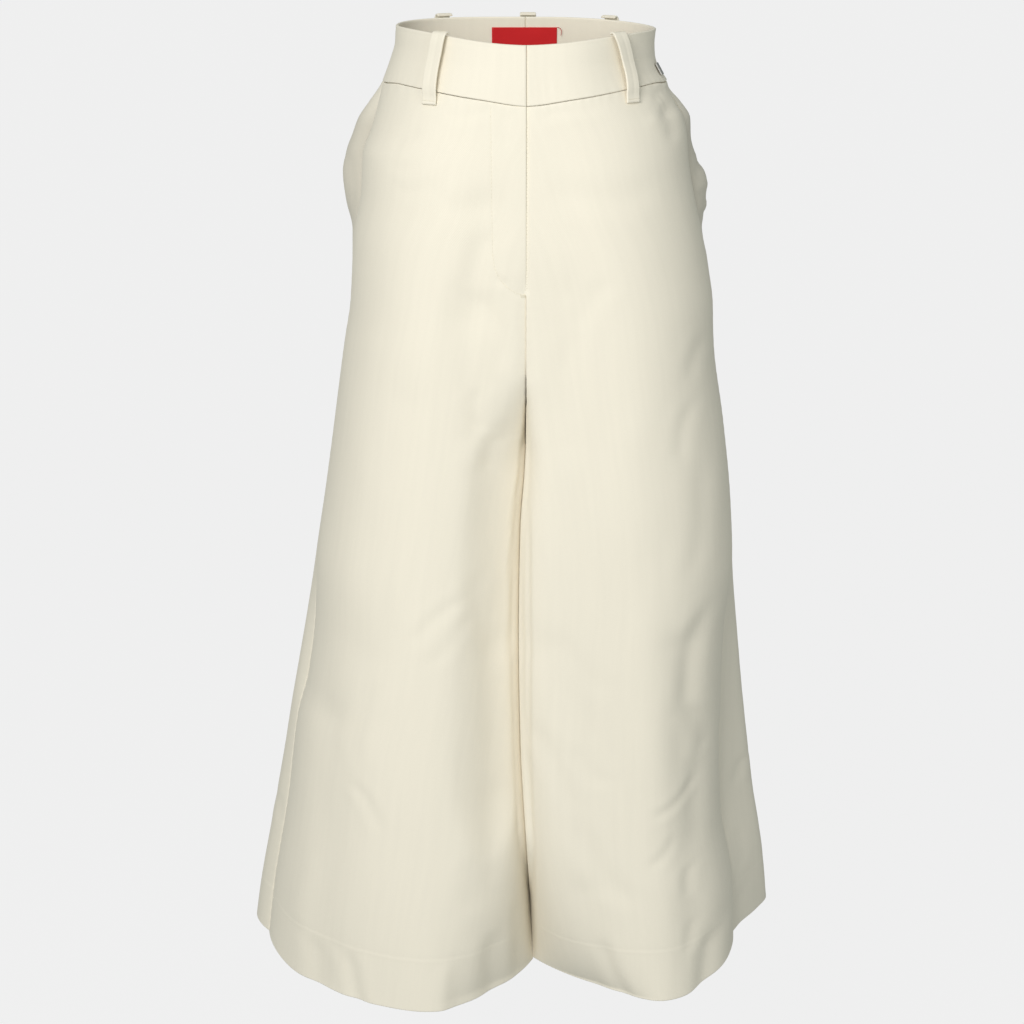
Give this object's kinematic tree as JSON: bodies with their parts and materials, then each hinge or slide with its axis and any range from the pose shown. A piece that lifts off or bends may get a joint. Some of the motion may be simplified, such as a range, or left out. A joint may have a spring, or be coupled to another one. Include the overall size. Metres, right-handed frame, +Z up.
{
  "type": "wide-leg capri pants",
  "caption": "High-waisted wide-leg capri pants of heavy cotton, standing open as worn, with a shaped waistband, fly, gaping side pockets and belt loops.",
  "frame": {"origin": "middle of the waist opening, level with the top edge of the waistband at the wearer's right side", "axes": "+X to the wearer's left, +Y to the back, +Z up"},
  "size_m": [0.5237, 0.2639, 0.9193],
  "materials": {
    "cream_cotton": "heavy cream cotton twill, matt with a faint sheen",
    "pocketing": "cream cotton pocketing, matt",
    "zip_tape": "cream woven zip tape",
    "label_cloth": "red woven satin label, bare",
    "plate_metal": "polished plain metal"
  },
  "bodies": {
    "root": {"front_right": "cream_cotton", "front_left": "cream_cotton", "back_right": "cream_cotton", "back_left": "cream_cotton", "waistband_right": "cream_cotton", "waistband_left": "cream_cotton", "belt_loop_front_right": "cream_cotton", "belt_loop_front_left": "cream_cotton", "belt_loop_back_right": "cream_cotton", "belt_loop_back_left": "cream_cotton", "belt_loop_back_centre": "cream_cotton", "pocket_right": "pocketing", "pocket_left": "pocketing", "fly_shield": "cream_cotton", "zip": "zip_tape", "label": "label_cloth", "side_plate": "plate_metal"}
  },
  "joints": []
}
